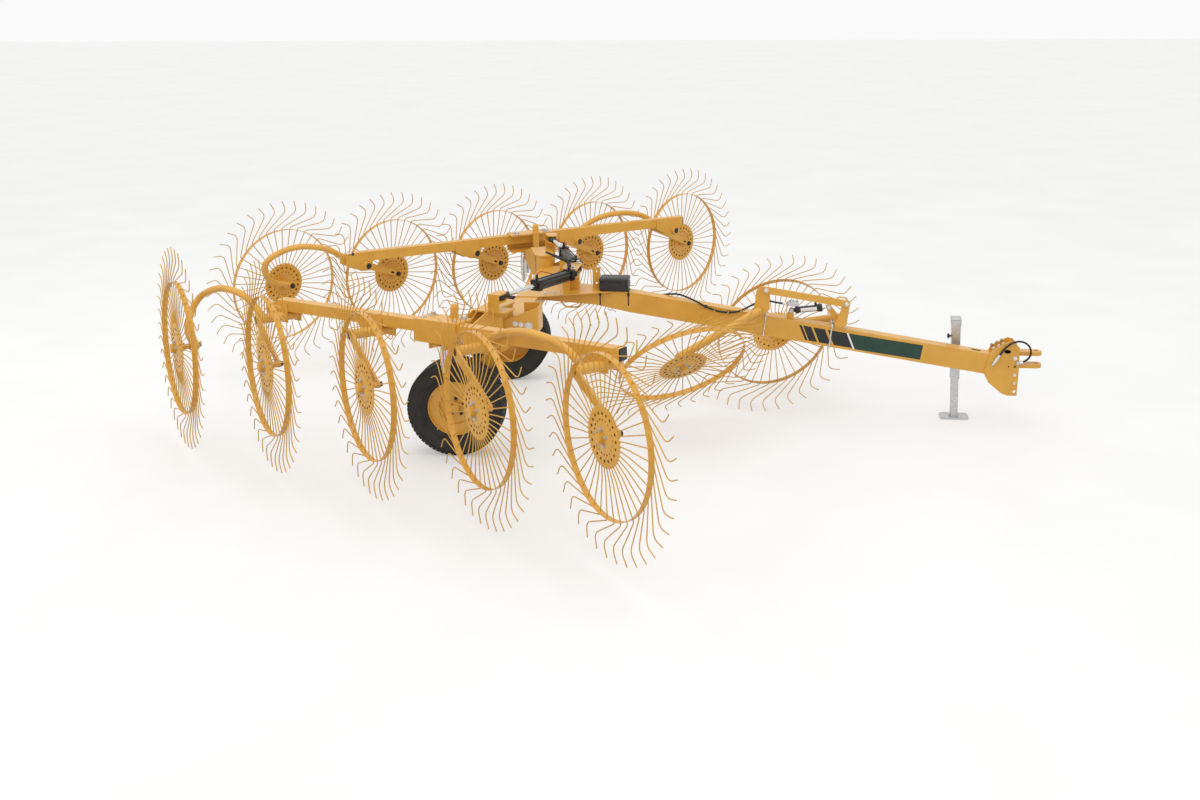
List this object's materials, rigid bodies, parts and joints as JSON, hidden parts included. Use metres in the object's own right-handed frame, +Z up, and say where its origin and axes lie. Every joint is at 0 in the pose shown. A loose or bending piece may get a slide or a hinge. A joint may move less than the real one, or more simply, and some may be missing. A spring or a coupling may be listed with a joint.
{
  "type": "carted wheel rake",
  "caption": "Carted V rake with tined rake wheels on two folding arms, lifted kicker wheels, axle frame, drawbar with clevis and parking jack.",
  "frame": {"origin": "centre of the hitch pin's bore, midway between the two tongues of the clevis", "axes": "+X forward to the tractor, +Y to the rake's left, +Z up"},
  "size_m": [6.4385, 6.3032, 1.4829],
  "materials": {
    "black_paint": "satin black paint",
    "black_plastic": "matte",
    "chrome_rod": "polished",
    "frame_paint": "warm yellow gloss paint",
    "galvanised": "galvanised",
    "hose_rubber": "matte",
    "tyre_rubber": "matte",
    "wheel_paint": "warm yellow powder coat"
  },
  "bodies": {
    "cart": {"drawbar": "frame_paint", "hitch_head": "frame_paint", "jack_tube": "galvanised", "cart_frame": "frame_paint", "fold_anchor": "frame_paint", "manual_box": "black_plastic", "kicker_bearings": "frame_paint", "lift_hose": "hose_rubber", "hitch_hose": "hose_rubber", "hose_coupler": "galvanised"},
    "right_arm": {"right_beam": "frame_paint", "right_swing_bracket": "frame_paint", "right_cranks": "frame_paint", "right_rear_arch": "frame_paint"},
    "right_fold_cylinder": {"right_fold_barrel": "black_paint"},
    "right_fold_piston": {"right_fold_rod": "chrome_rod"},
    "right_wheel_1": {"right_rake_wheel_1": "wheel_paint"},
    "right_wheel_2": {"right_rake_wheel_2": "wheel_paint"},
    "right_wheel_3": {"right_rake_wheel_3": "wheel_paint"},
    "right_wheel_4": {"right_rake_wheel_4": "wheel_paint"},
    "right_wheel_5": {"right_rake_wheel_5": "wheel_paint"},
    "right_road_wheel": {"right_tyre": "tyre_rubber", "right_rim": "wheel_paint"},
    "left_arm": {"left_beam": "frame_paint", "left_swing_bracket": "frame_paint", "left_cranks": "frame_paint", "left_rear_arch": "frame_paint"},
    "left_fold_cylinder": {"left_fold_barrel": "black_paint"},
    "left_fold_piston": {"left_fold_rod": "chrome_rod"},
    "left_wheel_1": {"left_rake_wheel_1": "wheel_paint"},
    "left_wheel_2": {"left_rake_wheel_2": "wheel_paint"},
    "left_wheel_3": {"left_rake_wheel_3": "wheel_paint"},
    "left_wheel_4": {"left_rake_wheel_4": "wheel_paint"},
    "left_wheel_5": {"left_rake_wheel_5": "wheel_paint"},
    "left_road_wheel": {"left_tyre": "tyre_rubber", "left_rim": "wheel_paint"},
    "jack_leg": {"jack_leg": "galvanised"},
    "kicker_rear": {"kicker_rocker_rear": "frame_paint"},
    "kicker_front": {"kicker_rocker_front": "frame_paint"},
    "kicker_tie": {"kicker_link": "frame_paint"},
    "kicker_cylinder": {"kicker_barrel": "black_paint"},
    "kicker_piston": {"kicker_rod": "chrome_rod"},
    "kicker_spin_right": {"kicker_wheel_right": "wheel_paint"},
    "kicker_spin_left": {"kicker_wheel_left": "wheel_paint"}
  },
  "joints": [
    {"name": "right_fold", "type": "hinge", "parent": "cart", "child": "right_arm", "pos_m": [-3.72, -0.78, 0.54], "axis": [0, 0, 1], "range_deg": [0, 25]},
    {"name": "right_barrel_swing", "type": "hinge", "parent": "cart", "child": "right_fold_cylinder", "pos_m": [-3.34, -0.1, 0.6], "axis": [0, 0, 1], "range_deg": [0, 4.14]},
    {"name": "right_piston_slide", "type": "slide", "parent": "right_fold_cylinder", "child": "right_fold_piston", "axis": [-0.375, -0.9263, 0.0382], "range_m": [-0.05302, 0]},
    {"name": "right_wheel_1_spin", "type": "hinge", "parent": "right_arm", "child": "right_wheel_1", "pos_m": [-2.758, -2.601, 0.285], "axis": [0.7859, 0.6184, 0], "continuous": true},
    {"name": "right_wheel_2_spin", "type": "hinge", "parent": "right_arm", "child": "right_wheel_2", "pos_m": [-3.55953, -2.1873, 0.271], "axis": [0.7859, 0.6184, 0], "continuous": true},
    {"name": "right_wheel_3_spin", "type": "hinge", "parent": "right_arm", "child": "right_wheel_3", "pos_m": [-4.36106, -1.7736, 0.257], "axis": [0.7859, 0.6184, 0], "continuous": true},
    {"name": "right_wheel_4_spin", "type": "hinge", "parent": "right_arm", "child": "right_wheel_4", "pos_m": [-5.1626, -1.35989, 0.243], "axis": [0.7859, 0.6184, 0], "continuous": true},
    {"name": "right_wheel_5_spin", "type": "hinge", "parent": "right_arm", "child": "right_wheel_5", "pos_m": [-5.96413, -0.94619, 0.229], "axis": [0.7859, 0.6184, 0], "continuous": true},
    {"name": "right_road_wheel_spin", "type": "hinge", "parent": "cart", "child": "right_road_wheel", "pos_m": [-4.04, -0.85, -0.166], "axis": [0, 1, 0], "continuous": true},
    {"name": "left_fold", "type": "hinge", "parent": "cart", "child": "left_arm", "pos_m": [-3.72, 0.78, 0.54], "axis": [0, 0, -1], "range_deg": [0, 25]},
    {"name": "left_barrel_swing", "type": "hinge", "parent": "cart", "child": "left_fold_cylinder", "pos_m": [-3.34, 0.1, 0.6], "axis": [0, 0, -1], "range_deg": [0, 4.14]},
    {"name": "left_piston_slide", "type": "slide", "parent": "left_fold_cylinder", "child": "left_fold_piston", "axis": [-0.375, 0.9263, 0.0382], "range_m": [-0.05302, 0]},
    {"name": "left_wheel_1_spin", "type": "hinge", "parent": "left_arm", "child": "left_wheel_1", "pos_m": [-2.758, 2.601, 0.285], "axis": [0.7859, -0.6184, 0], "continuous": true},
    {"name": "left_wheel_2_spin", "type": "hinge", "parent": "left_arm", "child": "left_wheel_2", "pos_m": [-3.55953, 2.1873, 0.271], "axis": [0.7859, -0.6184, 0], "continuous": true},
    {"name": "left_wheel_3_spin", "type": "hinge", "parent": "left_arm", "child": "left_wheel_3", "pos_m": [-4.36106, 1.7736, 0.257], "axis": [0.7859, -0.6184, 0], "continuous": true},
    {"name": "left_wheel_4_spin", "type": "hinge", "parent": "left_arm", "child": "left_wheel_4", "pos_m": [-5.1626, 1.35989, 0.243], "axis": [0.7859, -0.6184, 0], "continuous": true},
    {"name": "left_wheel_5_spin", "type": "hinge", "parent": "left_arm", "child": "left_wheel_5", "pos_m": [-5.96413, 0.94619, 0.229], "axis": [0.7859, -0.6184, 0], "continuous": true},
    {"name": "left_road_wheel_spin", "type": "hinge", "parent": "cart", "child": "left_road_wheel", "pos_m": [-4.04, 0.85, -0.166], "axis": [0, 1, 0], "continuous": true},
    {"name": "jack_slide", "type": "slide", "parent": "cart", "child": "jack_leg", "axis": [0, 0, 1], "range_m": [0, 0.26]},
    {"name": "kicker_lift", "type": "hinge", "parent": "cart", "child": "kicker_rear", "pos_m": [-1.988, 0, 0.34322], "axis": [0, 1, 0], "range_deg": [0, 30]},
    {"name": "kicker_front_lift", "type": "hinge", "parent": "cart", "child": "kicker_front", "pos_m": [-1.41, 0, 0.25167], "axis": [0, 1, 0], "range_deg": [0, 30]},
    {"name": "kicker_tie_pin", "type": "hinge", "parent": "kicker_rear", "child": "kicker_tie", "pos_m": [-1.934, -0.088, 0.49622], "axis": [0, 1, 0], "range_deg": [-30, 0]},
    {"name": "kicker_barrel_swing", "type": "hinge", "parent": "cart", "child": "kicker_cylinder", "pos_m": [-1.753, 0, 0.326], "axis": [0, 1, 0], "range_deg": [-3.16, 0]},
    {"name": "kicker_piston_slide", "type": "slide", "parent": "kicker_cylinder", "child": "kicker_piston", "axis": [0.9937, 0, 0.1121], "range_m": [0, 0.06413]},
    {"name": "kicker_wheel_right_spin", "type": "hinge", "parent": "kicker_rear", "child": "kicker_spin_right", "pos_m": [-2.51, -0.545, 0.067], "axis": [-0.3531, 0.6272, 0.6942], "continuous": true},
    {"name": "kicker_wheel_left_spin", "type": "hinge", "parent": "kicker_front", "child": "kicker_spin_left", "pos_m": [-1.89, 0.545, 0.023], "axis": [-0.3531, -0.6272, 0.6942], "continuous": true}
  ],
  "couplings": [
    {"joint": "right_barrel_swing", "follows": "right_fold", "ratio": 0.1635},
    {"joint": "right_piston_slide", "follows": "right_fold", "m_per_rad": -0.12036},
    {"joint": "left_barrel_swing", "follows": "left_fold", "ratio": 0.1635},
    {"joint": "left_piston_slide", "follows": "left_fold", "m_per_rad": -0.12036},
    {"joint": "kicker_front_lift", "follows": "kicker_lift", "ratio": 1},
    {"joint": "kicker_tie_pin", "follows": "kicker_lift", "ratio": -1},
    {"joint": "kicker_barrel_swing", "follows": "kicker_lift", "ratio": -0.10256},
    {"joint": "kicker_piston_slide", "follows": "kicker_lift", "m_per_rad": 0.12153}
  ]
}
